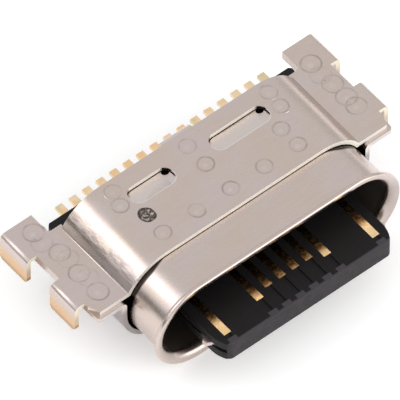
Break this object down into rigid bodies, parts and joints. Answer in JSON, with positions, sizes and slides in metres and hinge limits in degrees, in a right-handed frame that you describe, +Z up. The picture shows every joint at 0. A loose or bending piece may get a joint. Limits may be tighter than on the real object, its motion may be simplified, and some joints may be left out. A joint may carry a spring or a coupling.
{
  "type": "charging port connector",
  "caption": "Mid-mount charging port connector: a drawn oval steel mouth round a contact tongue, folded steel covers with board ears and legs, and solder tails at the rear.",
  "frame": {"origin": "under the centre of the part's box, on the surface that it rests on", "axes": "+X across the width, -Y out of the mouth, +Z up through the hood"},
  "size_m": [0.0116, 0.007, 0.0033],
  "materials": {
    "steel": "satin nickel plate",
    "black_plastic": "moulded",
    "grey_plastic": "moulded",
    "plated_copper": "gold flash"
  },
  "bodies": {
    "root": {"mouth_shell": "steel", "upper_cover": "steel", "lower_cover": "steel", "mid_plate": "steel", "housing": "black_plastic", "upper_insulator": "black_plastic", "lower_insulator": "black_plastic", "tongue_nose": "grey_plastic", "upper_terminal_1": "plated_copper", "upper_terminal_2": "plated_copper", "upper_terminal_3": "plated_copper", "upper_terminal_4": "plated_copper", "upper_terminal_5": "plated_copper", "upper_terminal_6": "plated_copper", "upper_terminal_7": "plated_copper", "upper_terminal_8": "plated_copper", "lower_terminal_1": "plated_copper", "lower_terminal_2": "plated_copper", "lower_terminal_3": "plated_copper", "lower_terminal_4": "plated_copper", "lower_terminal_5": "plated_copper", "lower_terminal_6": "plated_copper", "lower_terminal_7": "plated_copper", "lower_terminal_8": "plated_copper"}
  },
  "joints": []
}
